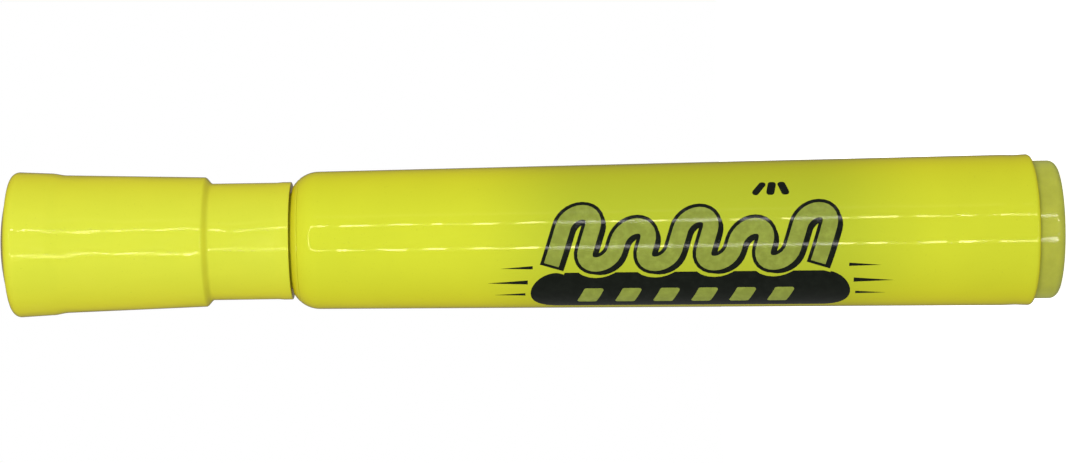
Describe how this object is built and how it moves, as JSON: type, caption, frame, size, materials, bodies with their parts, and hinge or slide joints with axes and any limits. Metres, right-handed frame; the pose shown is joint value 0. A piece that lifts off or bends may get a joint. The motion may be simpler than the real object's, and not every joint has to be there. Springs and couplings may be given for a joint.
{
  "type": "highlighter",
  "caption": "Capped yellow desk highlighter: a thick tapered barrel with a fibre reservoir, a chisel nib in its holder, a pull-off cap with an inner seal and a translucent end plug.",
  "frame": {"origin": "centre of the end plug's flat face, on which the capped highlighter stands", "axes": "+Z along the highlighter's axis towards the closed end of the cap; the print on the barrel faces -Y and the nib's broad faces look along +Y and -Y; +X makes it right-handed"},
  "size_m": [0.0176, 0.0176, 0.1233],
  "materials": {
    "barrel_plastic": "moulded polypropylene, opaque fluorescent yellow, glossy",
    "cap_plastic": "moulded polypropylene, opaque fluorescent yellow, glossy",
    "plug_plastic": "moulded polypropylene, translucent olive yellow, satin",
    "nib_fibre": "bonded polyester fibre soaked with fluorescent yellow ink, matte",
    "reservoir_fibre": "loose bonded polyester fibre soaked with fluorescent yellow ink, matte",
    "wrap_film": "thin clear polypropylene film"
  },
  "bodies": {
    "barrel": {"barrel": "barrel_plastic", "end_plug": "plug_plastic", "nib_holder": "barrel_plastic", "nib": "nib_fibre", "reservoir_core": "reservoir_fibre", "reservoir_wrap": "wrap_film"},
    "cap": {"cap": "cap_plastic", "inner_cap": "cap_plastic"}
  },
  "joints": [
    {"name": "cap_pull", "type": "slide", "parent": "barrel", "child": "cap", "axis": [0, 0, 1], "range_m": [0, 0.045]}
  ]
}
